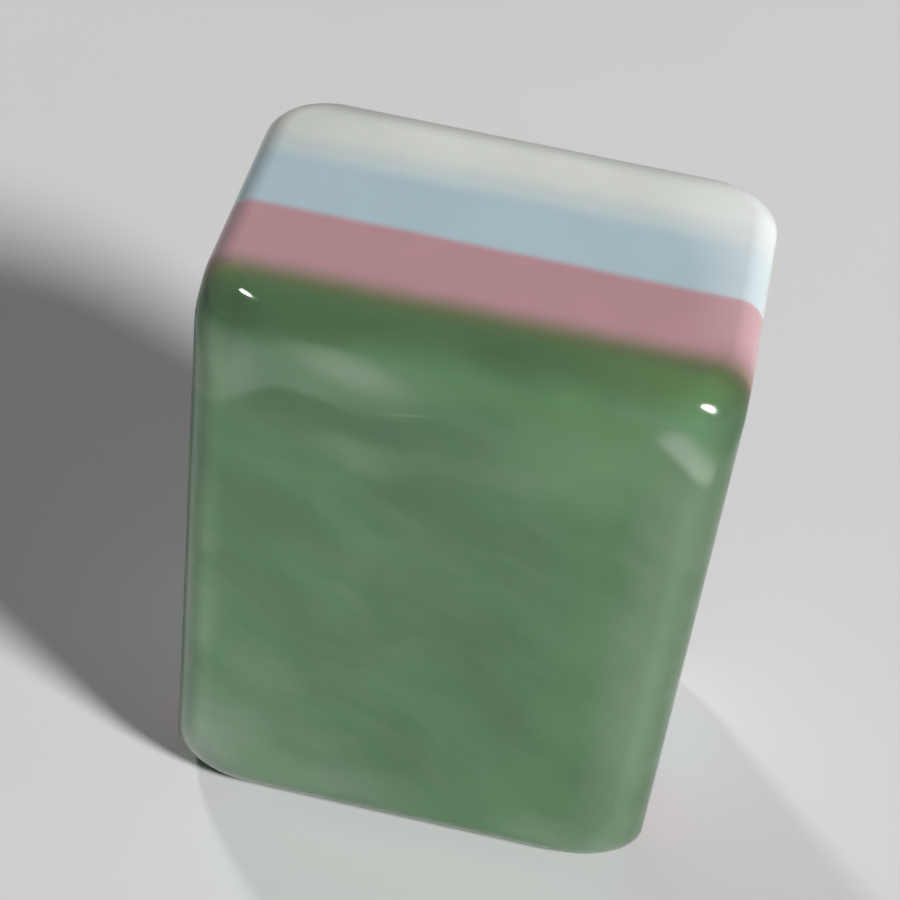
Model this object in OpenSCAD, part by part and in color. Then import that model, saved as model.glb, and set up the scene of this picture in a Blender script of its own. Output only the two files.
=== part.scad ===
// A laminated mahjong tile: four coloured layers bonded face to face, with nine painted circles
// engraved in the front. The tile stands on its end: X runs across it, Y from its back to its
// front, Z up. The origin is the middle of the footprint.

/* [Tile] */
// Width across the face
tile_w = 31.5; // [29:0.5:36]
// Height, the way the figure stands
tile_h = 42; // [38:0.5:48]

/* [Layers] */
// Thickness of the green marbled back layer
back_t = 3.4; // [2.8:0.1:6]
// Thickness of the pink layer
pink_t = 6; // [3:0.1:8]
// Thickness of the blue layer
blue_t = 5.9; // [3:0.1:8]
// Thickness of the white layer that carries the figure
face_t = 6.7; // [4:0.1:9]

/* [Rounding] */
// Radius of the rims round the front and the back
rim_r = 2.4; // [0.8:0.1:2.7]
// Corner radius of the tile's middle, seen from the front
edge_r = 1.6; // [0.6:0.1:3]
// Corner radius of the flat front and back, worn rounder than the middle
flat_corner_r = 4.3; // [3:0.1:6]
// Depth over which the corners wear from the one radius to the other
worn_depth = 4.5; // [3:0.1:5.5]

/* [Figure] */
// Bare border left and right of the figure, inside the rim
side_border = 0.8; // [0.4:0.1:1.6]
// Bare border above and below the figure, inside the rim
end_border = 3; // [1:0.1:4.5]
// Bare gap between neighbouring circles in a row
circle_gap = 0.8; // [0.4:0.1:1.5]
// Width of the ring groove round each circle, as a share of the circle's radius
ring_share = 0.255; // [0.18:0.005:0.3]
// Bare land on each side of the petals, as a share of the circle's radius
land_share = 0.09; // [0.05:0.005:0.13]
// Radius of the dimple in the middle of each circle, as a share of the circle's radius
dimple_share = 0.19; // [0.12:0.005:0.23]
// Depth of the ring groove and of the dimple
ring_depth = 0.45; // [0.3:0.05:0.5]
// Width of a petal, as a share of its length
petal_width_share = 0.56; // [0.4:0.01:0.6]
// Depth of a petal, as a share of its length
petal_depth_share = 0.25; // [0.2:0.01:0.27]

/* [Paint] */
// Depth of the paint's edge below the front
paint_drop = 0.08; // [0.05:0.01:0.1]
// Further drop from the paint's edge to the middle of its hollow surface
paint_sag = 0.06; // [0.02:0.01:0.08]
// Level lip of paint along each side of a groove
paint_lip = 0.05; // [0.02:0.01:0.08]

/* [Hidden] */
$fn = 96;
ROWS = ["top", "middle", "bottom"];
COLUMNS = ["left", "centre", "right"];
MARKS = ["ring", "petals", "dot"];
LAYERS = ["back_layer", "pink_layer", "blue_layer", "face_layer"];
PETALS = 8;
ROW_COLOURS = ["seagreen", "crimson", "midnightblue"];
DOT_COLOURS = ["crimson", "seagreen", "crimson"];

// Name of the paint in one mark
function paint_name(row, column, mark) = str("paint_", ROWS[row], "_", COLUMNS[column], "_", mark);

// Layer faces, measured from the back
pink_y = back_t;
blue_y = pink_y + pink_t;
face_y = blue_y + blue_t;
tile_t = face_y + face_t;

// Steps of the rounding: round the rim, along the worn corners, and round each corner's quarter
rim_steps = 9;
worn_steps = 5;
corner_steps = 12;
// Angles whose sines place the sections of a petal's paint between its two tips
PETAL_SECTIONS = [-75 : 30 : 75];
// Levels nearer than this count as one
least_step = 0.01;

// Depths, from the nearer of the front and back, at which the outline changes
rim_depths = [for (i = [0 : rim_steps]) rim_r * (1 - cos(90 * i / rim_steps))];
worn_depths = [for (i = [1 : worn_steps]) rim_r + (worn_depth - rim_r) * i / worn_steps];
depths = concat(rim_depths, worn_depths);
last_depth = len(depths) - 1;
levels = concat(depths, [for (i = [last_depth : -1 : 0]) tile_t - depths[i]]);

// The nine circles share the flat front
flat_w = tile_w - 2 * rim_r;
flat_h = tile_h - 2 * rim_r;
circle_r = (flat_w - 2 * side_border - 2 * circle_gap) / 6;
column_pitch = 2 * circle_r + circle_gap;
row_pitch = (flat_h - 2 * end_border - 2 * circle_r) / 2;

// The marks of one circle: the ring lies outside, and the petals fill the room round the dimple
ring_w = circle_r * ring_share;
ring_r = circle_r - ring_w / 2;
dimple_w = 2 * circle_r * dimple_share;
petal_l = circle_r * (1 - ring_share - 2 * land_share - dimple_share);
petal_r = circle_r * (dimple_share + land_share) + petal_l / 2;
petal_w = petal_l * petal_width_share;
petal_depth = petal_l * petal_depth_share;

// How far the rim draws the outline in at a depth
function inset(depth) = depth < rim_r ? rim_r - sqrt(rim_r ^ 2 - (rim_r - depth) ^ 2) : 0;

// The outline's corner radius at a depth
function corner_r(depth) =
    let (wear = depth < worn_depth ? cos(90 * depth / worn_depth) ^ 2 : 0)
    edge_r + (flat_corner_r - edge_r) * wear;

// The outline of the tile at one level, counter-clockwise as seen from the back
function outline(level) =
    let (
        depth = min(level, tile_t - level),
        r = corner_r(depth),
        across = tile_w / 2 - inset(depth) - r,
        up = tile_h / 2 - inset(depth) - r
    )
    [
        for (quarter = [0 : 3], step = [0 : corner_steps])
            let (
                side = quarter == 0 || quarter == 3 ? 1 : -1,
                end = quarter < 2 ? 1 : -1,
                angle = 90 * (quarter + step / corner_steps)
            )
            [
                side * across + r * cos(angle),
                level - tile_t / 2,
                tile_h / 2 + end * up + r * sin(angle)
            ]
    ];

// Radius of the arc that spans this half width with this rise
function arc_r(half, rise) = (half ^ 2 + rise ^ 2) / (2 * rise);

// A round-nosed cutter that leaves a groove of this width and depth. It cuts no deeper than half
// the width
function nose_depth(w, depth) = min(depth, w / 2);
function nose_r(w, depth) = arc_r(w / 2, nose_depth(w, depth));
function nose_up(w, depth) = nose_r(w, depth) - nose_depth(w, depth);

// The two spheres of a petal's leaf: how far their middles lie above the front and to each side of
// the leaf, and their radius
leaf_up = arc_r(petal_l / 2, petal_depth) - petal_depth;
leaf_aside = arc_r(petal_l / 2, petal_w / 2) - petal_w / 2;
leaf_r = norm([petal_l / 2, leaf_up, leaf_aside]);

// Half the leaf's width at a depth, and the depth of its keel, at a distance from its middle
function leaf_half(along, depth) = sqrt(leaf_r ^ 2 - along ^ 2 - (leaf_up + depth) ^ 2) - leaf_aside;
function leaf_keel(along) = sqrt(leaf_r ^ 2 - leaf_aside ^ 2 - along ^ 2) - leaf_up;

// A solid through a row of sections with as many points each, listed counter-clockwise as seen from
// the row's start
module loft(sections) {
    count = len(sections[0]);
    last = count * (len(sections) - 1);
    sides = [
        for (k = [0 : len(sections) - 2], i = [0 : count - 1])
            let (a = k * count + i, b = k * count + (i + 1) % count)
            each [[a, b, a + count], [b, b + count, a + count]]
    ];
    first_cap = [for (i = [count - 1 : -1 : 0]) i];
    last_cap = [for (i = [0 : count - 1]) last + i];
    polyhedron(
        points = [for (section = sections) each section],
        faces = concat([first_cap, last_cap], sides)
    );
}

// The part of the rounded tile between two levels
module slice(from, to) {
    between = [for (l = levels) if (l > from + least_step && l < to - least_step) l];
    loft([for (stop = concat([from], between, [to])) outline(stop)]);
}

// A circle's place on the front, with Z out of the face. Left is left for whoever faces the figure
module at_circle(row, column) {
    translate([(1 - column) * column_pitch, tile_t / 2, tile_h / 2 + (1 - row) * row_pitch])
        rotate([-90, 0, 0]) children();
}

// Section of the cutter's nose at a distance from the circle's middle
module nose_section(middle, w, depth) {
    translate([middle, nose_up(w, depth)]) circle(r = nose_r(w, depth));
}

// A petal's cutter: the lens that two spheres share, which leaves a pointed leaf with a keel
module petal_cutter() {
    translate([petal_r, 0, leaf_up]) intersection() {
        translate([0, leaf_aside, 0]) sphere(r = leaf_r);
        translate([0, -leaf_aside, 0]) sphere(r = leaf_r);
    }
}

module ring_cutter() {
    rotate_extrude() nose_section(ring_r, ring_w, ring_depth);
}

module dot_cutter() {
    translate([0, 0, nose_up(dimple_w, ring_depth)]) sphere(r = nose_r(dimple_w, ring_depth));
}

module circle_cutters() {
    ring_cutter();
    for (i = [0 : PETALS - 1]) rotate(360 * i / PETALS) petal_cutter();
    dot_cutter();
}

// Section of the paint in a ring or dot: what lies in the cut below its edge, less the hollow on top
module paint_section(middle, w) {
    nose = nose_r(w, ring_depth);
    start = max(0, middle - nose);
    half = sqrt(nose ^ 2 - (nose_up(w, ring_depth) + paint_drop) ^ 2);
    hollow_r = arc_r(half - paint_lip, paint_sag);
    difference() {
        intersection() {
            nose_section(middle, w, ring_depth);
            translate([start, -nose]) square([middle + nose - start, nose - paint_drop]);
        }
        translate([middle, hollow_r - paint_drop - paint_sag]) circle(r = hollow_r);
    }
}

module paint_ring() {
    rotate_extrude() paint_section(ring_r, ring_w);
}

module paint_dot() {
    rotate_extrude() paint_section(0, dimple_w);
}

// Section of the paint in a petal: down one wall to the keel, up the other, and over the hollow top
function petal_section(along, reach) =
    let (
        keel = leaf_keel(along),
        middle = (keel + paint_drop) / 2,
        top_half = leaf_half(along, paint_drop),
        middle_half = leaf_half(along, middle),
        hollow = paint_drop + paint_sag * (1 - (along / reach) ^ 2)
    )
    [
        [petal_r + along, top_half, -paint_drop],
        [petal_r + along, middle_half, -middle],
        [petal_r + along, 0, -keel],
        [petal_r + along, -middle_half, -middle],
        [petal_r + along, -top_half, -paint_drop],
        [petal_r + along, 0, -hollow]
    ];

module paint_petals() {
    reach = sqrt(leaf_r ^ 2 - leaf_aside ^ 2 - (leaf_up + paint_drop) ^ 2);
    sections = [for (angle = PETAL_SECTIONS) petal_section(reach * sin(angle), reach)];
    for (i = [0 : PETALS - 1]) rotate(360 * i / PETALS) loft(sections);
}

module back_layer() {
    color("darkseagreen") slice(0, pink_y);
}

module pink_layer() {
    color("pink") slice(pink_y, blue_y);
}

module blue_layer() {
    color("lightblue") slice(blue_y, face_y);
}

module face_layer() {
    color("ivory") difference() {
        slice(face_y, tile_t);
        for (r = [0 : 2], c = [0 : 2]) at_circle(r, c) circle_cutters();
    }
}

module paint(row, column, mark) {
    color(mark == "dot" ? DOT_COLOURS[row] : ROW_COLOURS[row]) at_circle(row, column) {
        if (mark == "ring") paint_ring();
        if (mark == "petals") paint_petals();
        if (mark == "dot") paint_dot();
    }
}

back_layer();
pink_layer();
blue_layer();
face_layer();
for (r = [0 : 2], c = [0 : 2], mark = MARKS)
    paint(r, c, mark);
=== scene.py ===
"""Dresses a packed laminated mahjong tile: polished resin layers, an enamelled figure and a pale stage."""

import math

import bmesh
import bpy
from mathutils import Matrix, Vector


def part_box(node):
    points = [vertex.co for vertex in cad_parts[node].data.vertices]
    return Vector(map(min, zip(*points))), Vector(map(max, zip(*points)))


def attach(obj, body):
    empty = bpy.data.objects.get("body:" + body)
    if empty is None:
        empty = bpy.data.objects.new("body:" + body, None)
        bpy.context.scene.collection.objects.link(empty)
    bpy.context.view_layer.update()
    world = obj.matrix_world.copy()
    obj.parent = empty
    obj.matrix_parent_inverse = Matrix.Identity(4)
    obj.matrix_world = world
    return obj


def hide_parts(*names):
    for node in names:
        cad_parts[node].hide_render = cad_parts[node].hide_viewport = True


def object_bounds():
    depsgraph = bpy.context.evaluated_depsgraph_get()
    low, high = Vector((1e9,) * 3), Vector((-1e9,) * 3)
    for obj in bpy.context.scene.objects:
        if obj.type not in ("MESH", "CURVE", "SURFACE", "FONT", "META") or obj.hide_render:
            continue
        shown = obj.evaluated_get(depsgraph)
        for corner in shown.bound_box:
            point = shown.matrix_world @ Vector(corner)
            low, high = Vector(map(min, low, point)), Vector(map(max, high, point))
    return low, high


bl_info = {
    "name": "Laminated Mahjong Tile",
    "version": (1, 0, 0),
    "blender": (4, 5, 0),
    "location": "3D View > Sidebar > Tile",
    "description": "Finishes the resin layers and the enamelled figure of a mahjong tile, and sets its stage",
    "category": "Add Mesh",
}

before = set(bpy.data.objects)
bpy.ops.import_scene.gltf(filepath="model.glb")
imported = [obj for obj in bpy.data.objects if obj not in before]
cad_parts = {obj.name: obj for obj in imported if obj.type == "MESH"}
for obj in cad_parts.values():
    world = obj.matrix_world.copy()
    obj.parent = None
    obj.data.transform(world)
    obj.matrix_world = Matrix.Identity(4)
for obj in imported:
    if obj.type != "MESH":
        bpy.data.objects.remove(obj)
CAD_LOW, CAD_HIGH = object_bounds()

MM = 0.001
ROWS = ("top", "middle", "bottom")
COLUMNS = ("left", "centre", "right")

# Half the tile's width, half its thickness and its height, in millimetres
HALF_WIDTH = CAD_HIGH.x / MM
HALF_DEPTH = CAD_HIGH.y / MM
HEIGHT = CAD_HIGH.z / MM

# The faces where two layers meet, in millimetres from the middle of the thickness
PINK_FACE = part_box("pink_layer")[0].y / MM
BLUE_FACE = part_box("blue_layer")[0].y / MM
WHITE_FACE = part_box("face_layer")[0].y / MM


# Properties

def colour_property(name, description, default):
    """A colour in linear values."""
    return bpy.props.FloatVectorProperty(
        name=name, description=description, default=default, size=3, min=0, max=1, subtype="COLOR"
    )


def power_property(name, description, default):
    """The power of a lamp in watts."""
    return bpy.props.FloatProperty(name=name, description=description, default=default, min=0, unit="POWER")


def angle_property(name, description, degrees):
    return bpy.props.FloatProperty(
        name=name, description=description, default=math.radians(degrees), subtype="ANGLE"
    )


class TileResin(bpy.types.PropertyGroup):
    """Colours and finish of the four resin layers"""

    jade: colour_property("Jade", "Middle tone of the marbled back", (0.113, 0.238, 0.115))
    jade_deep: colour_property("Deep jade", "Saturated green of the marbling", (0.112, 0.262, 0.1))
    # Pale jade is milky marbling, and also painted light in the fold and along the left edge of the back
    jade_pale: colour_property("Pale jade", "Milky clouds of the marbling", (0.28, 0.38, 0.275))
    jade_bright: colour_property(
        "Bright jade", "Lighter green at the top right of the back", (0.165, 0.315, 0.147)
    )
    # Milky jade is the grey tone at the lower left of the back, and also painted light along its left edge
    jade_milk: colour_property("Milky jade", "Greyish margin at the left of the back", (0.3, 0.375, 0.305))
    # Painted light: the tone of the sliver at the top right of the back
    jade_sliver_light: colour_property(
        "Light jade", "Milky sliver at the top right of the back", (0.33, 0.415, 0.32)
    )
    jade_shade: colour_property("Shaded jade", "Blue-green streaks of the marbling", (0.083, 0.178, 0.092))
    # Dark jade and warm jade colour the band of painted shade along the top rim, warmer at its right
    jade_band_shade: colour_property("Dark jade", "Clear green along the top", (0.052, 0.122, 0.044))
    jade_warm: colour_property(
        "Warm jade", "Yellowish green at the right of the clear band", (0.083, 0.158, 0.044)
    )
    olive: colour_property("Olive", "Green where the pink shines through", (0.079, 0.116, 0.036))
    pink: colour_property("Pink", "Pink layer", (0.405, 0.215, 0.237))
    # Painted light: the pink glow is painted onto the right end of the pink band
    pink_glow: colour_property(
        "Pink glow", "Pink where the light comes through its right end", (0.65, 0.42, 0.445)
    )
    blue: colour_property("Blue", "Light blue layer", (0.35, 0.46, 0.51))
    white: colour_property("White", "Off-white face layer", (0.585, 0.61, 0.565))
    # Painted light: the glow is painted onto the right ends of the blue and white bands
    glow: colour_property(
        "Glow", "White and blue where the light comes through their right ends", (0.8, 0.82, 0.81)
    )
    roughness: bpy.props.FloatProperty(
        name="Roughness", description="Roughness of the polished resin", default=0.06, min=0, max=1,
        subtype="FACTOR",
    )


class TileEnamel(bpy.types.PropertyGroup):
    """Colours of the paint in the engraving, and the wear of its grooves"""

    green: colour_property("Green", "Green enamel", (0.012, 0.12, 0.045))
    red: colour_property("Red", "Red enamel", (0.4, 0.018, 0.02))
    blue: colour_property("Blue", "Blue enamel", (0.015, 0.03, 0.16))
    lip: bpy.props.FloatProperty(
        name="Lip", description="Width of the worn lip round each groove", default=0.07 * MM, min=0,
        unit="LENGTH",
    )


class TileStage(bpy.types.PropertyGroup):
    """Floor, lamps and camera"""

    floor: colour_property("Floor", "Colour of the paper", (0.6, 0.605, 0.6))
    key_power: power_property("Key power", "Power of the main lamp", 56)
    second_power: power_property("Second power", "Power of the lamp behind the tile", 8.6)
    right_glint_power: power_property(
        "Right glint", "Power of the lamp that shows at the top right of the back", 18
    )
    left_glint_power: power_property(
        "Left glint", "Power of the lamp that shows at the top left of the back", 21
    )
    fill: bpy.props.FloatProperty(
        name="Fill", description="Strength of the even light from all round", default=0.022, min=0
    )
    lens: bpy.props.FloatProperty(
        name="Lens", description="Focal length in millimetres", default=96.06, min=1
    )
    distance: bpy.props.FloatProperty(
        name="Distance", description="From the camera to the point that it looks at", default=0.153, min=0,
        unit="LENGTH",
    )
    azimuth: angle_property("Azimuth", "Turn of the camera round the tile", 5.914)
    elevation: angle_property("Elevation", "Height angle of the camera", 42.745)
    roll: angle_property("Roll", "Turn of the camera round its own axis", 8.007)
    aim: bpy.props.FloatVectorProperty(
        name="Aim", description="Point that the camera looks at", default=(-0.001395, 0.001613, 0.022892),
        size=3, unit="LENGTH",
    )


# Node trees

# The places of the colour sockets on a mix node, whose names stand for several kinds of value
MIX_FACTOR, MIX_FIRST, MIX_SECOND, MIX_RESULT = 0, 6, 7, 2


class Graph:
    """Adds nodes to one node tree and wires them."""

    def __init__(self, tree):
        self.tree = tree

    def feed(self, node, inputs):
        """Links or sets a node's inputs by name or place."""
        for name, value in inputs.items():
            if isinstance(value, bpy.types.NodeSocket):
                self.tree.links.new(value, node.inputs[name])
            else:
                node.inputs[name].default_value = value

    def add(self, kind, inputs=None, **settings):
        """Adds a node, sets its options and feeds its inputs."""
        node = self.tree.nodes.new(kind)
        for name, value in settings.items():
            setattr(node, name, value)
        self.feed(node, inputs or {})
        return node

    def group(self, group, inputs):
        """Places a node group and returns its outputs."""
        return self.add("ShaderNodeGroup", inputs, node_tree=group).outputs

    def math(self, operation, *values, clamp=False):
        inputs = dict(enumerate(values))
        return self.add("ShaderNodeMath", inputs, operation=operation, use_clamp=clamp).outputs[0]

    def product(self, first, *others):
        """Multiplies masks and shares."""
        for other in others:
            first = self.math("MULTIPLY", first, other)
        return first

    def vector_math(self, operation, first, second):
        return self.add("ShaderNodeVectorMath", {0: first, 1: second}, operation=operation).outputs[0]

    def mix(self, factor, first, second):
        """Mixes two colours."""
        values = {MIX_FACTOR: factor, MIX_FIRST: rgba(first), MIX_SECOND: rgba(second)}
        return self.add("ShaderNodeMix", values, data_type="RGBA").outputs[MIX_RESULT]

    def tint(self, mask, colour, factors):
        """Multiplies the colour's channels by the factors where the mask is 1."""
        return self.mix(mask, colour, self.vector_math("MULTIPLY", colour, factors))

    def ramp(self, value, start, end, low=0.0, high=1.0):
        """Runs smoothly from low to high as the value goes from start to end."""
        values = {"Value": value, "From Min": start, "From Max": end, "To Min": low, "To Max": high}
        return self.add("ShaderNodeMapRange", values, interpolation_type="SMOOTHSTEP").outputs[0]

    def hump(self, value, start, risen, falling, end):
        """1 where the value lies between risen and falling, and 0 outside start and end."""
        return self.product(self.ramp(value, start, risen), self.ramp(value, end, falling))

    def noise(self, vector, scale, detail=2.0, roughness=0.5, output="Fac"):
        values = {"Vector": vector, "Scale": scale, "Detail": detail, "Roughness": roughness}
        return self.add("ShaderNodeTexNoise", values).outputs[output]

    def mapping(self, vector, place=(0, 0, 0), turn=(0, 0, 0), scale=(1, 1, 1), kind="POINT"):
        values = {"Vector": vector, "Location": place, "Rotation": turn, "Scale": scale}
        return self.add("ShaderNodeMapping", values, vector_type=kind).outputs[0]

    def bump(self, height, strength, depth, invert=False, **more):
        """A normal that follows the height. The depth is in millimetres."""
        values = {"Height": height, "Strength": strength, "Distance": depth * MM, **more}
        return self.add("ShaderNodeBump", values, invert=invert).outputs[0]

    def millimetres(self):
        """Object coordinates in millimetres."""
        coordinates = self.add("ShaderNodeTexCoord").outputs["Object"]
        return self.mapping(coordinates, scale=(1 / MM, 1 / MM, 1 / MM))

    def axes(self, vector):
        """The vector's x, y and z."""
        return self.add("ShaderNodeSeparateXYZ", {0: vector}).outputs


def rgba(colour):
    """A plain colour with full alpha, or the socket as it is."""
    return colour if isinstance(colour, bpy.types.NodeSocket) else (*colour[:3], 1.0)


def scaled(colour, factor, lift=0.0):
    """A plain colour with each channel multiplied and lifted, to 1 at most."""
    return [min(1.0, channel * factor + lift) for channel in colour]


def new_group(name, inputs, outputs):
    """An empty node group. Each socket is a name with its type. Returns its graph, its inputs and
    its output node."""
    group = bpy.data.node_groups.new(name, "ShaderNodeTree")
    for in_out, sockets in (("INPUT", inputs), ("OUTPUT", outputs)):
        for socket, kind in sockets.items():
            group.interface.new_socket(socket, in_out=in_out, socket_type=f"NodeSocket{kind}")
    graph = Graph(group)
    return graph, graph.add("NodeGroupInput").outputs, graph.add("NodeGroupOutput")


def shared_group(name, build):
    """The node group of that name, built at its first use."""
    return bpy.data.node_groups.get(name) or build(name)


def build_soft_cloud(name):
    """An oval patch with a soft edge, in millimetres: 1 in the middle, 0 outside."""
    sockets = {
        "Vector": "Vector", "Place": "Vector", "Turn": "Vector", "Size": "Vector", "Softness": "Float"
    }
    graph, given, out = new_group(name, sockets, {"Mask": "Float"})
    local = graph.mapping(given["Vector"], given["Place"], given["Turn"], given["Size"], kind="TEXTURE")
    distance = graph.add("ShaderNodeVectorMath", {0: local}, operation="LENGTH").outputs["Value"]
    inner = graph.math("SUBTRACT", 1.0, given["Softness"])
    graph.feed(out, {"Mask": graph.ramp(distance, inner, 1.0, low=1.0, high=0.0)})
    return graph.tree


def build_rim_mask(name):
    """1 on the tile's outermost edges and 0 on its flats, fading over the given reach in millimetres."""
    graph, given, out = new_group(name, {"Vector": "Vector", "Reach": "Float"}, {"Mask": "Float"})
    centred = graph.vector_math("SUBTRACT", given["Vector"], (0, 0, HEIGHT / 2))
    near = []
    for axis, half in zip(graph.axes(centred), (HALF_WIDTH, HALF_DEPTH, HEIGHT / 2)):
        gap = graph.math("SUBTRACT", half, graph.math("ABSOLUTE", axis))
        near.append(graph.ramp(gap, 0.0, given["Reach"], low=1.0, high=0.0))
    side, flat, end = near
    most = graph.math("MAXIMUM", graph.product(side, flat), graph.product(flat, end))
    graph.feed(out, {"Mask": graph.math("MAXIMUM", most, graph.product(side, end))})
    return graph.tree


# How far from an edge the polish is worn, in millimetres, and how much rougher it is on the edge
WORN_REACH = 3.0
WORN_ROUGHNESS = 0.06

# The depths of the polish's waves and scratches, in millimetres
WAVE_DEPTH = 0.4
SCRATCH_DEPTH = 0.01


def build_polish(name):
    """Polished resin: hazy handling marks and worn edges in the roughness, fine scratches and a slow
    waviness in the normal."""
    sockets = {"Vector": "Vector", "Roughness": "Float", "Waviness": "Float", "Scratches": "Float"}
    graph, given, out = new_group(name, sockets, {"Roughness": "Float", "Normal": "Vector"})
    vector = given["Vector"]
    haze = graph.noise(vector, scale=0.35, detail=4.0, roughness=0.6)
    smears = graph.noise(vector, scale=3.0, detail=3.0, roughness=0.6)
    marks = graph.math(
        "ADD", graph.ramp(haze, 0.35, 0.75, low=-0.02, high=0.05), graph.ramp(smears, 0.4, 0.7, high=0.03)
    )
    rim = graph.group(shared_group("Rim Mask", build_rim_mask), {"Vector": vector, "Reach": WORN_REACH})
    marks = graph.math("MULTIPLY_ADD", rim["Mask"], WORN_ROUGHNESS, marks)
    wave = graph.noise(vector, scale=0.16, detail=1.0, roughness=0.4)
    waved = graph.bump(wave, given["Waviness"], WAVE_DEPTH)
    stretched = graph.mapping(vector, turn=(0.3, 0.5, 0.2), scale=(0.5, 6.0, 9.0))
    scratch = graph.ramp(graph.noise(stretched, scale=1.4), 0.62, 0.68)
    graph.feed(out, {
        "Roughness": graph.math("ADD", given["Roughness"], marks, clamp=True),
        "Normal": graph.bump(scratch, given["Scratches"], SCRATCH_DEPTH, invert=True, Normal=waved),
    })
    return graph.tree


def build_bond_blend(name):
    """Tints a layer near its two bonds with the colour of the layer beyond, which shines through."""
    sockets = {
        "Vector": "Vector", "Colour": "Color",
        "Back colour": "Color", "Back face": "Float", "Back reach": "Float", "Back share": "Float",
        "Front colour": "Color", "Front face": "Float", "Front reach": "Float", "Front share": "Float",
    }
    graph, given, out = new_group(name, sockets, {"Colour": "Color"})
    waver = graph.ramp(graph.noise(given["Vector"], scale=0.25), 0.3, 0.7, low=-0.05, high=0.05)
    depth = graph.math("ADD", graph.axes(given["Vector"])[1], waver)
    colour = given["Colour"]
    for side, sign in (("Back", 1.0), ("Front", -1.0)):
        gap = graph.product(graph.math("SUBTRACT", depth, given[f"{side} face"]), sign)
        near = graph.ramp(gap, 0.0, given[f"{side} reach"], low=1.0, high=0.0)
        colour = graph.mix(graph.product(near, given[f"{side} share"]), colour, given[f"{side} colour"])
    graph.feed(out, {"Colour": colour})
    return graph.tree


def new_material(name):
    """A material with a Principled BSDF. Returns the material, its graph and the shader."""
    material = bpy.data.materials.new(name)
    material.use_nodes = True
    return material, Graph(material.node_tree), material.node_tree.nodes["Principled BSDF"]


# Materials

# Most ramps below run over places on the tile in millimetres: across from the middle of the width, depth
# from the middle of the thickness towards the face, and height from the end that the tile stands on

RESIN_IOR = 1.5

# How far the light wanders in the green resin, in metres, and each colour channel's share of that
JADE_SCATTER_LENGTH = 2.4 * MM
JADE_SCATTER = (0.8, 1.0, 0.8)

# Half the depth of each patch of the marbling, in millimetres
CLOUD_DEPTH = 6.0

# A neighbour for the bond blend where no layer lies beyond: its share is 0
NO_LAYER = ((0, 0, 0), 0.0, 1.0, 0.0)


def cloud(graph, vector, place, size, turn, softness=1.0):
    """A patch on the back, placed by its x and z in millimetres. Its turn is in degrees, seen from behind."""
    inputs = {
        "Vector": vector,
        "Place": (place[0], -HALF_DEPTH, place[1]),
        "Turn": (0, -math.radians(turn), 0),
        "Size": (size[0], CLOUD_DEPTH, size[1]),
        "Softness": softness,
    }
    return graph.group(shared_group("Soft Cloud", build_soft_cloud), inputs)["Mask"]


def bond_blend(graph, colour, vector, back=NO_LAYER, front=NO_LAYER):
    """Tints a layer near its bonds. Back and front give a neighbour's colour, its face, reach and share."""
    inputs = {"Vector": vector, "Colour": colour}
    for side, (beyond, face, reach, share) in (("Back", back), ("Front", front)):
        inputs[f"{side} colour"] = rgba(beyond)
        inputs[f"{side} face"] = face
        inputs[f"{side} reach"] = reach
        inputs[f"{side} share"] = share
    return graph.group(shared_group("Bond Blend", build_bond_blend), inputs)["Colour"]


def finish_resin(graph, shader, colour, vector, roughness, waviness=0.1, scratches=0.15):
    """Links a resin's colour and its polish."""
    inputs = {"Vector": vector, "Roughness": roughness, "Waviness": waviness, "Scratches": scratches}
    polish = graph.group(shared_group("Polished Resin", build_polish), inputs)
    graph.feed(shader, {
        "Base Color": colour, "Roughness": polish["Roughness"], "Normal": polish["Normal"], "IOR": RESIN_IOR
    })


# Patches on the back, marbling and painted light at its left edge: x and z in millimetres, half sizes, turn
# in degrees and share
BRIGHT_PATCHES = (
    ((8.5, 36.4), (8.5, 6), 0, 0.8),
    ((9, 24), (5, 10), -10, 0.2),
    ((10.4, 22), (2.8, 5), 0, 0.3),
)
DEEP_PATCHES = (
    ((9.3, 29.0), (4.0, 4.6), 20, 0.62),
    ((9.5, 13), (3.6, 9), -8, 0.6),
    ((8.5, 5.5), (5, 6), 0, 0.4),
    ((0.5, 39.0), (6, 2.4), 0, 0.6),
    ((6, 39.2), (8, 2.4), -3, 0.6),
)
SHADE_PATCHES = (
    ((-2.8, 30.4), (3.8, 1.6), -14, 0.75),
    ((1, 28.2), (5, 1.6), -25, 0.3),
    ((4.5, 20.8), (3.2, 2.4), -30, 0.4),
    ((4.5, 13), (4.5, 7), 0, 0.4),
    ((-8.5, 20), (5, 1.8), -42, 0.5),
    ((-9, 26.5), (5.5, 3.2), -20, 0.6),
    ((-3.5, 35), (3.6, 0.8), -8, 0.5),
    ((-11.5, 25), (4, 8), 0, 0.35),
    ((-4.2, 28.4), (3.6, 2.0), -25, 0.45),
    ((1.6, 38.1), (3.2, 1.4), 0, 0.35),
)
PALE_PATCHES = (
    ((-5, 32.9), (5.5, 1.8), 4, 0.28),
    ((4, 33.5), (6, 2), 6, 0.14),
    ((-5.5, 21.3), (3.5, 1.1), -25, 0.12),
    ((-10, 13), (4.5, 3), -30, 0.18),
    ((-12, 6), (7, 7), -20, 0.45),
    ((-5, 3.4), (9, 3.6), 0, 0.4),
    # Painted light along the left edge
    ((-15.2, 20), (2.4, 24), 0, 0.35),
    ((13.4, 18), (3.4, 26), 2, 0.5),
    ((13, 3), (5, 6), 0, 0.2),
    ((14.2, 31.5), (3.8, 8.5), 2, 0.38),
    ((-5.8, 7.1), (3.8, 2.4), -30, 0.26),
    ((9.2, 3.0), (5.5, 2.4), -6, 0.34),
)
MILK_PATCHES = (
    ((-14.2, 3.5), (4.5, 6.5), 10, 0.75),
    ((-10.5, 0.6), (7, 2.4), 0, 0.6),
    # Painted light along the left edge
    ((-15.0, 15), (2.8, 12), 0, 0.2),
)

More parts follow.
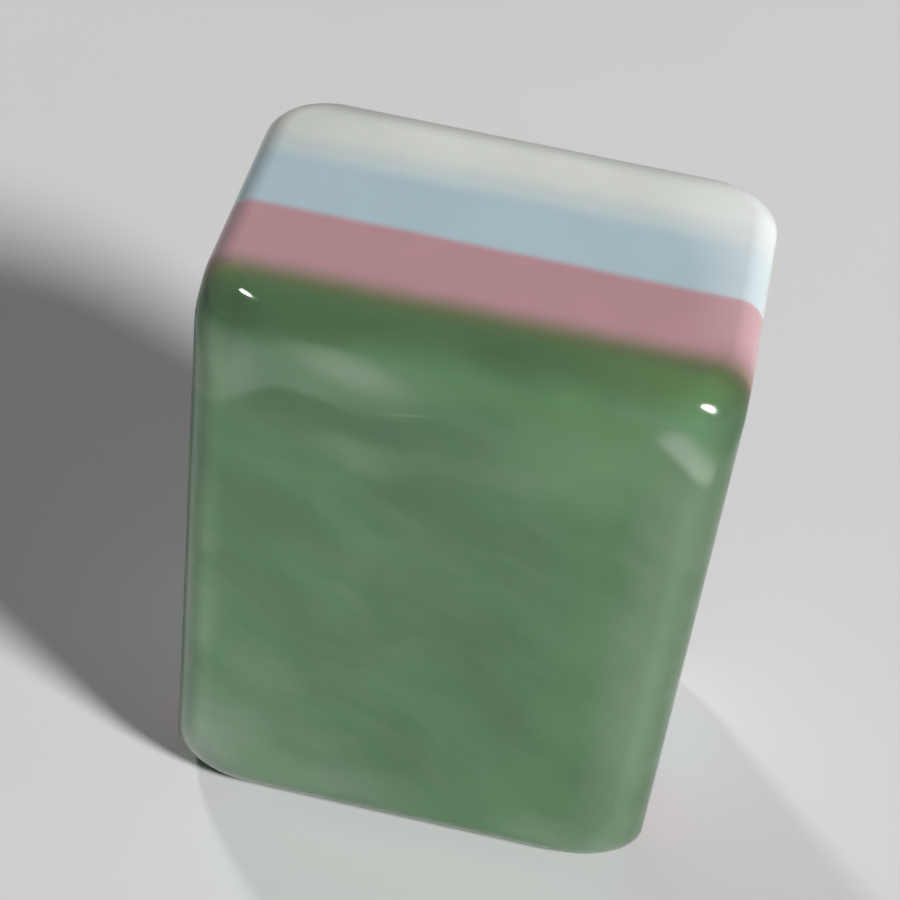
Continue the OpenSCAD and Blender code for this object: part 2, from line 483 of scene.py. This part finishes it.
# The smoky streaks: how they fall to the right in degrees, how long they are drawn along each axis, and
# how far their course and the patches' outlines wander in millimetres
STREAK_FALL = 30
STREAK_STRETCH = (2.4, 1.5, 1.0)
STREAK_WANDER = 5.0
PATCH_WANDER = 1.5

# The band of painted shade under the top end, in millimetres: the height where it is full, the height where
# it ends below, and how much higher both lie at the left, and from the middle to the right
BAND_TOP = HEIGHT - 1.0
BAND_FOOT = HEIGHT - 3.6
BAND_RISE_LEFT = 0.1
BAND_RISE_RIGHT = 1.1

# The wavy lower edge of the fold, milky marbling and painted light, in millimetres: its middle height, how
# high its waves are, how far it sinks at the left rim, and where it ends inside, from the middle of the
# thickness
FOLD_HEIGHT = 36.2
FOLD_WAVE = 0.4
FOLD_SINK = 1.6
FOLD_END = -HALF_DEPTH + 2.8

# The angle of the fold's waves, in radians: how much it grows in a millimetre, and what it is in the middle
FOLD_TURN = 0.7
FOLD_PHASE = 6.8

# The share of the pale tone in the fold, milky marbling and painted light, outside its lobes
FOLD_SHARE = 0.3

# Lobes of the fold, milky marbling and painted light: x and z in millimetres, half sizes, turn in degrees,
# softness, share, and the height where each is cut off
FOLD_LOBES = (
    ((-13.0, 37.2), (2.4, 2.9), 10, 1.0, 0.36, 40.5),
    ((-6.3, 38.85), (4.8, 1.75), -14, 0.9, 0.62, 40.2),
    ((-2.8, 36.5), (2.4, 0.2), 12, 1.0, 0.3, HEIGHT),
)

# The sliver of painted light in the top right corner: a place on its lower edge in millimetres, its slant in
# degrees and the share of its tone
SLIVER_PLACE = (11.0, 0, 38.2)
SLIVER_SLANT = 42
SLIVER_SHARE = 0.88

# What the colour's channels are multiplied by on the rims of the back: painted light on the left, painted
# shade on the right
LEFT_RIM_PAINTED_LIGHT = (1.42, 1.44, 1.38)
RIGHT_RIM_PAINTED_SHADE = (0.47, 0.48, 0.43)

# Where the pink starts to show in the green, and where the last green has gone from the pink, in
# millimetres from the middle of the thickness
SEAM_START = PINK_FACE - 0.9
SEAM_END = PINK_FACE + 1.7

# The grey of the shade painted on the top end
END_PAINTED_SHADE = (0.2, 0.2, 0.19)


def jade_resin(resin):
    """Marbled green with a band of painted shade under the top, a folded cloud of milky marbling and painted
    light, a sliver of painted light, painted light and shade on the rims, and soft light inside.
    """
    material, graph, shader = new_material("jade_resin")
    vector = graph.millimetres()
    colour = marbling(graph, vector, resin)
    colour = painted_band_shade(graph, colour, vector, resin)
    colour = milk_and_painted_light_fold(graph, colour, vector, resin)
    colour = painted_light_sliver(graph, colour, vector, resin)
    colour = painted_rim_light_and_shade(graph, colour, vector)
    colour = bond_blend(graph, colour, vector, front=(resin.pink, SEAM_END, SEAM_END - SEAM_START, 1.0))
    finish_resin(graph, shader, colour, vector, resin.roughness, waviness=0.2, scratches=0.08)
    graph.feed(shader, {
        "Subsurface Weight": graph.ramp(graph.axes(vector)[1], PINK_FACE - 0.4, PINK_FACE - 2.2),
        "Subsurface Radius": JADE_SCATTER,
        "Subsurface Scale": JADE_SCATTER_LENGTH,
    })
    return material


def jittered(graph, vector, scale, detail, reach):
    """The vector, moved by a noise by up to about the reach in each direction."""
    noise = graph.noise(vector, scale, detail, output="Color")
    return graph.vector_math("ADD", vector, graph.mapping(noise, (-reach,) * 3, scale=(2 * reach,) * 3))


def marbling(graph, vector, resin):
    """Smoky streaks that fall to the right, with the patches of the back over them, some of them painted
    light at its left edge.
    """
    bent = jittered(graph, vector, scale=0.06, detail=1.0, reach=STREAK_WANDER)
    ragged = jittered(graph, vector, scale=0.3, detail=3.0, reach=PATCH_WANDER)
    fall = (0, math.radians(STREAK_FALL), 0)
    streaks = graph.mapping(bent, turn=fall, scale=STREAK_STRETCH, kind="TEXTURE")
    broad = graph.ramp(graph.noise(streaks, scale=0.17, detail=2.5), 0.25, 0.75, low=0.15)
    colour = graph.mix(broad, resin.jade_shade, resin.jade)
    fine = graph.ramp(graph.noise(streaks, scale=0.5, detail=2.5), 0.35, 0.75, high=0.1)
    colour = graph.mix(fine, colour, resin.jade_pale)
    for tone, patches in (
        (resin.jade_bright, BRIGHT_PATCHES),
        (resin.jade_deep, DEEP_PATCHES),
        (resin.jade_shade, SHADE_PATCHES),
        (resin.jade_pale, PALE_PATCHES),
        (resin.jade_milk, MILK_PATCHES),
    ):
        for place, size, turn, share in patches:
            mask = graph.product(cloud(graph, ragged, place, size, turn), share)
            colour = graph.mix(mask, colour, tone)
    return colour


def painted_band_shade(graph, colour, vector, resin):
    """A band of painted shade under the top end, fainter and warmer at the right, and olive where the pink
    shines through.
    """
    across, depth, height = graph.axes(vector)
    waver = graph.ramp(graph.noise(vector, scale=0.12, detail=1.0), 0.3, 0.7, low=-0.3, high=0.3)
    rise = graph.ramp(across, -12, 0, low=BAND_RISE_LEFT, high=BAND_RISE_RIGHT)
    level = graph.math("SUBTRACT", graph.math("ADD", height, waver), rise)
    share = graph.ramp(across, 3, 13, low=0.92, high=0.75)
    clear = graph.mix(graph.ramp(across, 2, 12), resin.jade_band_shade, resin.jade_warm)
    # Painted shade: the dark band along the top rim
    colour = graph.mix(graph.product(graph.ramp(level, BAND_FOOT, BAND_TOP), share), colour, clear)
    on_rim = graph.product(
        graph.ramp(depth, PINK_FACE - 2.0, PINK_FACE - 0.2), graph.ramp(height, BAND_FOOT, HEIGHT)
    )
    near_pink = graph.math("MAXIMUM", on_rim, graph.ramp(depth, PINK_FACE - 1.8, PINK_FACE))
    return graph.mix(near_pink, colour, resin.olive)


def milk_and_painted_light_fold(graph, colour, vector, resin):
    """A cloud of milky marbling and painted light that ends below in a wavy fold, with a dark lee under it
    and brighter lobes in it.
    """
    across, depth, height = graph.axes(vector)
    wave = graph.math("COSINE", graph.math("MULTIPLY_ADD", across, FOLD_TURN, FOLD_PHASE))
    above = graph.math("SUBTRACT", height, graph.math("MULTIPLY_ADD", wave, FOLD_WAVE, FOLD_HEIGHT))
    above = graph.math("MULTIPLY_ADD", graph.ramp(across, -10, -15), FOLD_SINK, above)
    lee = graph.product(
        graph.hump(above, -2.8, -0.5, -0.5, 0.2),
        graph.ramp(across, -15, -10),
        graph.ramp(across, 3.0, -4.0, high=0.65),
    )
    folded = graph.mix(lee, colour, resin.jade_shade)
    crisp = graph.ramp(above, -0.25, 0.4)
    soft = graph.ramp(above, -0.8, 2.0)
    blur = graph.ramp(across, -8.5, -4.5)
    edge = graph.math("MULTIPLY_ADD", graph.math("SUBTRACT", soft, crisp), blur, crisp)
    # The pale fold: milky marbling and painted light
    milk_and_painted_light = graph.product(edge, graph.ramp(across, 1.0, -6.0), graph.ramp(height, 40.6, 38.6), FOLD_SHARE)
    folded = graph.mix(milk_and_painted_light, folded, resin.jade_pale)
    for place, size, turn, softness, share, top in FOLD_LOBES:
        lobe = cloud(graph, vector, place, size, turn, softness)
        lobe = graph.product(lobe, share, graph.ramp(height, top + 0.3, top - 0.2))
        folded = graph.mix(lobe, folded, resin.jade_pale)
    return graph.mix(graph.ramp(depth, FOLD_END, FOLD_END - 1.6), colour, folded)


def painted_light_sliver(graph, colour, vector, resin):
    """A sliver of painted light in the top right corner, with a crisp slanting edge below and a soft one
    above.
    """
    local = graph.mapping(vector, SLIVER_PLACE, turn=(0, math.radians(SLIVER_SLANT), 0), kind="TEXTURE")
    along, _, above = graph.axes(local)
    across, _, height = graph.axes(vector)
    mask = graph.product(
        graph.hump(above, 0, 0.7, 0.9, 2.5),
        graph.hump(along, -0.9, 0.8, 3.6, 4.8),
        graph.ramp(across, 14.9, 14.5),
        graph.ramp(height, 39.7, 39.2),
        SLIVER_SHARE,
    )
    # Painted light laid over the corner
    return graph.mix(mask, colour, resin.jade_sliver_light)


def painted_rim_light_and_shade(graph, colour, vector):
    """Paints light on the left rim of the back and shade on the right one, standing in for light that wanders
    through the resin.
    """
    across = graph.axes(vector)[0]
    # Painted light paling the left rim, then painted shade deepening the right rim
    colour = graph.tint(graph.hump(across, -15.5, -14.8, -14.5, -13.0), colour, LEFT_RIM_PAINTED_LIGHT)
    return graph.tint(graph.ramp(across, 13.2, 15.8), colour, RIGHT_RIM_PAINTED_SHADE)


def band_resin(name, resin, colour, lit, back, front=NO_LAYER):
    """A plain layer with a faint mottle, with painted light as a glow at its right end and painted shade on
    its top end.
    """
    material, graph, shader = new_material(name)
    vector = graph.millimetres()
    mottle = graph.noise(vector, scale=0.2, detail=3.0, roughness=0.55)
    tone = graph.mix(graph.ramp(mottle, 0.35, 0.7), scaled(colour, 0.97), scaled(colour, 1.03))
    specks = graph.ramp(graph.noise(vector, scale=2.2), 0.6, 0.75, high=0.06)
    tone = graph.mix(specks, tone, scaled(colour, 0.85))
    tone = bond_blend(graph, tone, vector, back, front)
    tone = painted_end_light_and_shade(graph, tone, vector, lit)
    finish_resin(graph, shader, tone, vector, resin.roughness)
    return material


def painted_end_light_and_shade(graph, colour, vector, lit):
    """Paints shade on the top end, greyer towards its left and along its far rim, and painted light as a glow
    at its right end.
    """
    across, depth, height = graph.axes(vector)
    near_top = graph.ramp(height, HEIGHT - 4.2, HEIGHT - 1.3)
    painted_left_shade = graph.product(graph.ramp(across, -4, -HALF_WIDTH), graph.ramp(depth, 0, 7, low=0.06, high=0.22))
    painted_far_rim_shade = graph.product(
        graph.ramp(depth, 7.9, 9.7, high=graph.ramp(across, 4, -8, low=0.44, high=0.56)),
        graph.ramp(depth, 10.5, 10.2),
        graph.ramp(height, HEIGHT - 2.4, HEIGHT - 1.2),
    )
    # Painted shade: greyer towards the left of the top end and along its far rim
    colour = graph.mix(graph.math("MULTIPLY_ADD", painted_left_shade, near_top, painted_far_rim_shade), colour, END_PAINTED_SHADE)
    # Painted light: a glow and sheen at the right end
    glow = graph.product(
        graph.ramp(across, graph.ramp(depth, 0, 7, low=10.6, high=7.0), HALF_WIDTH),
        graph.ramp(depth, 0, 7, low=0.45, high=0.58),
        graph.ramp(depth, PINK_FACE + 0.2, PINK_FACE + 3.2),
        near_top,
    )
    return graph.mix(glow, colour, lit)


def pink_resin(resin):
    return band_resin(
        "pink_resin", resin, resin.pink, lit=resin.pink_glow,
        back=(resin.olive, SEAM_START, SEAM_END - SEAM_START, 1.0),
        front=(resin.blue, BLUE_FACE, 0.4, 0.4),
    )


def blue_resin(resin):
    return band_resin(
        "blue_resin", resin, resin.blue, lit=resin.glow,
        back=(resin.pink, BLUE_FACE, 0.4, 0.4),
        front=(resin.white, WHITE_FACE, 1.6, 0.5),
    )


def white_resin(resin):
    return band_resin(
        "white_resin", resin, resin.white, lit=resin.glow, back=(resin.blue, WHITE_FACE, 2.0, 0.5)
    )


def enamel(name, colour):
    """Glossy paint, a little uneven and rubbed."""
    material, graph, shader = new_material(name)
    vector = graph.millimetres()
    patches = graph.noise(vector, scale=1.1, detail=3.0, roughness=0.55)
    tone = graph.mix(graph.ramp(patches, 0.35, 0.7), scaled(colour, 0.8), scaled(colour, 1.25))
    rubbed = graph.ramp(graph.noise(vector, scale=4.0, detail=4.0, roughness=0.65), 0.6, 0.78)
    tone = graph.mix(graph.product(rubbed, 0.25), tone, scaled(colour, 1.8, lift=0.03))
    uneven = graph.ramp(patches, 0.3, 0.7, low=0.16, high=0.3)
    graph.feed(shader, {
        "Base Color": tone,
        "Roughness": graph.math("ADD", uneven, graph.product(rubbed, 0.2)),
        "Normal": graph.bump(graph.noise(vector, scale=2.5), strength=0.3, depth=0.05),
    })
    return material


def paper(stage):
    """Plain pale paper."""
    material, graph, shader = new_material("paper")
    vector = graph.millimetres()
    grain = graph.noise(vector, scale=1.5, detail=4.0, roughness=0.6)
    clouds = graph.noise(vector, scale=0.012, detail=3.0)
    graph.feed(shader, {
        "Base Color": graph.mix(
            graph.ramp(clouds, 0.3, 0.7), scaled(stage.floor, 0.985), scaled(stage.floor, 1.015)
        ),
        "Roughness": graph.ramp(grain, 0.3, 0.7, low=0.85, high=0.95),
        "Normal": graph.bump(grain, strength=0.12, depth=0.05),
        "Specular IOR Level": 0.0,
    })
    return material


# Pieces

MERGE_DISTANCE = 0.0005 * MM
FLAT_ANGLE = math.radians(0.3)
SHARP_ANGLE = math.radians(32)


def merged_copy(node_name):
    """The CAD node's loose triangles as one closed mesh, with each flat area made one face."""
    mesh = bmesh.new()
    mesh.from_mesh(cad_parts[node_name].data)
    for layer in list(mesh.loops.layers.float_vector.values()):
        mesh.loops.layers.float_vector.remove(layer)
    bmesh.ops.remove_doubles(mesh, verts=mesh.verts, dist=MERGE_DISTANCE)
    bmesh.ops.dissolve_limit(mesh, angle_limit=FLAT_ANGLE, verts=mesh.verts, edges=mesh.edges)
    return mesh


def add_object(name, data):
    """Puts a new object into the scene."""
    item = bpy.data.objects.new(name, data)
    bpy.context.scene.collection.objects.link(item)
    return item


def add_mesh(name, mesh, material):
    """Makes the mesh an object of one material."""
    data = bpy.data.meshes.new(name)
    mesh.to_mesh(data)
    mesh.free()
    data.materials.append(material)
    return add_object(name, data)


def add_piece(name, mesh, material, node_name):
    """Makes the mesh an object that stands for the CAD node, with smooth curves and sharp creases."""
    for face in mesh.faces:
        face.smooth = True
    for edge in mesh.edges:
        edge.smooth = edge.calc_face_angle(0.0) < SHARP_ANGLE
    piece = add_mesh(name, mesh, material)
    weighted = piece.modifiers.new("Weighted normals", "WEIGHTED_NORMAL")
    weighted.keep_sharp = True
    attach(piece, "root")
    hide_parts(node_name)


def paint_nodes(mark):
    """The paint nodes of one kind of mark, each with its row."""
    return [(row, f"paint_{row}_{column}_{mark}") for row in ROWS for column in COLUMNS]


# Operators

class TILE_OT_back_layer(bpy.types.Operator):
    """Add the marbled green back"""

    bl_idname = "tile.back_layer"
    bl_label = "Marbled Back"

    def execute(self, context):
        material = jade_resin(context.scene.tile_resin)
        add_piece("marbled_back", merged_copy("back_layer"), material, "back_layer")
        return {"FINISHED"}


class TILE_OT_bands(bpy.types.Operator):
    """Add the pink and the light blue band"""

    bl_idname = "tile.bands"
    bl_label = "Coloured Bands"

    def execute(self, context):
        resin = context.scene.tile_resin
        add_piece("pink_band", merged_copy("pink_layer"), pink_resin(resin), "pink_layer")
        add_piece("blue_band", merged_copy("blue_layer"), blue_resin(resin), "blue_layer")
        return {"FINISHED"}


class TILE_OT_face_layer(bpy.types.Operator):
    """Add the engraved off-white face, with worn lips round its grooves"""

    bl_idname = "tile.face_layer"
    bl_label = "Engraved Face"

    def execute(self, context):
        mesh = merged_copy("face_layer")
        lips = [
            edge for edge in mesh.edges
            if edge.calc_face_angle(0.0) > SHARP_ANGLE
            and all(vert.co.y > CAD_HIGH.y - MERGE_DISTANCE for vert in edge.verts)
        ]
        bmesh.ops.bevel(
            mesh, geom=lips, offset=context.scene.tile_enamel.lip, offset_type="OFFSET", segments=2,
            profile=0.5, affect="EDGES", material=-1, clamp_overlap=True,
        )
        add_piece("engraved_face", mesh, white_resin(context.scene.tile_resin), "face_layer")
        return {"FINISHED"}


class TILE_OT_paint(bpy.types.Operator):
    """Paint the rings, petals and dots of the figure"""

    bl_idname = "tile.paint"
    bl_label = "Enamelled Figure"

    def execute(self, context):
        colours = context.scene.tile_enamel
        green = enamel("green_enamel", colours.green), "green_paint"
        red = enamel("red_enamel", colours.red), "red_paint"
        blue = enamel("blue_enamel", colours.blue), "blue_paint"
        row_paints = {"top": green, "middle": red, "bottom": blue}
        dot_paints = {"top": red, "middle": green, "bottom": red}
        for mark, paints in (("ring", row_paints), ("dot", dot_paints)):
            for row, node_name in paint_nodes(mark):
                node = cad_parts[node_name]
                material, slot = paints[row]
                node.data.materials.clear()
                node.data.materials.append(material)
        for row, node_name in paint_nodes("petals"):
            material, slot = row_paints[row]
            add_piece(node_name.replace("paint", "enamel"), merged_copy(node_name), material, node_name)
        return {"FINISHED"}


class TILE_OT_stage(bpy.types.Operator):
    """Add the floor, the lamps, the even light and the camera"""

    bl_idname = "tile.stage"
    bl_label = "Stage"

    def execute(self, context):
        stage = context.scene.tile_stage
        add_floor(stage)
        add_lamp(
            "key", azimuth=-29.7, elevation=34, distance=2.0, size=(0.38, 0.38), power=stage.key_power
        )
        add_lamp(
            "second", azimuth=131, elevation=30, distance=1.5, size=(0.17, 0.17), power=stage.second_power
        )
        right = add_lamp(
            "right_glint", azimuth=-44.7, elevation=16, distance=2.0, size=(0.55, 0.3),
            power=stage.right_glint_power, turn=-38,
        )
        show_in_gloss(right, "marbled_back")
        left = add_lamp(
            "left_glint", azimuth=-154, elevation=55, distance=2.0, size=(0.45, 0.38),
            power=stage.left_glint_power, turn=25,
        )
        show_in_gloss(left)
        add_even_light(context.scene, stage)
        add_camera(context.scene, stage)
        return {"FINISHED"}


# Stage

# Half the side of the floor, in metres
FLOOR_HALF = 3.0


def add_floor(stage):
    mesh = bmesh.new()
    bmesh.ops.create_grid(mesh, x_segments=1, y_segments=1, size=FLOOR_HALF)
    add_mesh("floor", mesh, paper(stage))


def aimed(target, towards, distance, roll):
    """The place of a lamp or camera that looks at the target from the direction and distance given."""
    place = Matrix.Translation(target + towards * distance)
    aim = (-towards).to_track_quat("-Z", "Y").to_matrix().to_4x4()
    return place @ aim @ Matrix.Rotation(roll, 4, "Z")


def add_lamp(name, azimuth, elevation, distance, size, power, turn=0):
    """An oval soft lamp that lights the tile and doesn't show in its gloss. Its azimuth is in degrees
    from +X towards +Y, and its turn in degrees about its own axis."""
    around, rise = math.radians(azimuth), math.radians(elevation)
    towards = Vector((math.cos(around) * math.cos(rise), math.sin(around) * math.cos(rise), math.sin(rise)))
    light = bpy.data.lights.new(name, "AREA")
    light.shape = "ELLIPSE"
    light.size, light.size_y = size
    light.energy = power
    lamp = add_object(name, light)
    lamp.matrix_world = aimed(Vector((0, 0, HEIGHT * MM / 2)), towards, distance, math.radians(turn))
    lamp.visible_glossy = False
    return lamp


def show_in_gloss(lamp, *pieces):
    """Makes a lamp show only as a highlight, on the named pieces, or on everything if none is named."""
    lamp.visible_glossy = True
    lamp.visible_diffuse = False
    if pieces:
        shiny = bpy.data.collections.new(f"{lamp.name}_pieces")
        for piece in pieces:
            shiny.objects.link(bpy.data.objects[piece])
        lamp.light_linking.receiver_collection = shiny


def add_even_light(scene, stage):
    """Soft light from all round. The camera and reflections see a paler background than it lights with."""
    world = bpy.data.worlds.new("even_light")
    world.use_nodes = True
    scene.world = world
    graph = Graph(world.node_tree)
    path = graph.add("ShaderNodeLightPath").outputs
    seen = graph.math("ADD", path["Is Camera Ray"], path["Is Glossy Ray"], clamp=True)
    seen = graph.math("ADD", seen, path["Is Transmission Ray"], clamp=True)
    strength = graph.math("MULTIPLY_ADD", seen, stage.floor[0] - stage.fill, stage.fill)
    graph.feed(world.node_tree.nodes["Background"], {"Color": (1, 1, 1, 1), "Strength": strength})


def add_camera(scene, stage):
    """A camera at the photograph's viewing angle. Its azimuth is from behind the tile towards +X."""
    around, rise = stage.azimuth, stage.elevation
    towards = Vector((math.sin(around) * math.cos(rise), -math.cos(around) * math.cos(rise), math.sin(rise)))
    data = bpy.data.cameras.new("camera")
    data.lens = stage.lens
    data.clip_start = 1 * MM
    camera = add_object("camera", data)
    camera.matrix_world = aimed(Vector(stage.aim), towards, stage.distance, stage.roll)
    scene.camera = camera
    scene.view_settings.view_transform = "Standard"


class TILE_PT_build(bpy.types.Panel):
    """Build buttons and settings of the tile"""

    bl_label = "Mahjong Tile"
    bl_space_type = "VIEW_3D"
    bl_region_type = "UI"
    bl_category = "Tile"

    def draw(self, context):
        for operator in OPERATORS:
            self.layout.operator(operator.bl_idname)
        for group_name in SETTINGS:
            settings = getattr(context.scene, group_name)
            box = self.layout.box()
            for name in settings.__annotations__:
                box.prop(settings, name)


SETTINGS = {"tile_resin": TileResin, "tile_enamel": TileEnamel, "tile_stage": TileStage}
OPERATORS = (TILE_OT_back_layer, TILE_OT_bands, TILE_OT_face_layer, TILE_OT_paint, TILE_OT_stage)
CLASSES = (*SETTINGS.values(), *OPERATORS, TILE_PT_build)


def register():
    for cls in CLASSES:
        bpy.utils.register_class(cls)
    for name, settings in SETTINGS.items():
        setattr(bpy.types.Scene, name, bpy.props.PointerProperty(type=settings))


def unregister():
    for name in SETTINGS:
        delattr(bpy.types.Scene, name)
    for cls in reversed(CLASSES):
        bpy.utils.unregister_class(cls)


def main():
    register()
    bpy.ops.tile.back_layer()
    bpy.ops.tile.bands()
    bpy.ops.tile.face_layer()
    bpy.ops.tile.paint()
    bpy.ops.tile.stage()


if __name__ == "__main__":
    main()
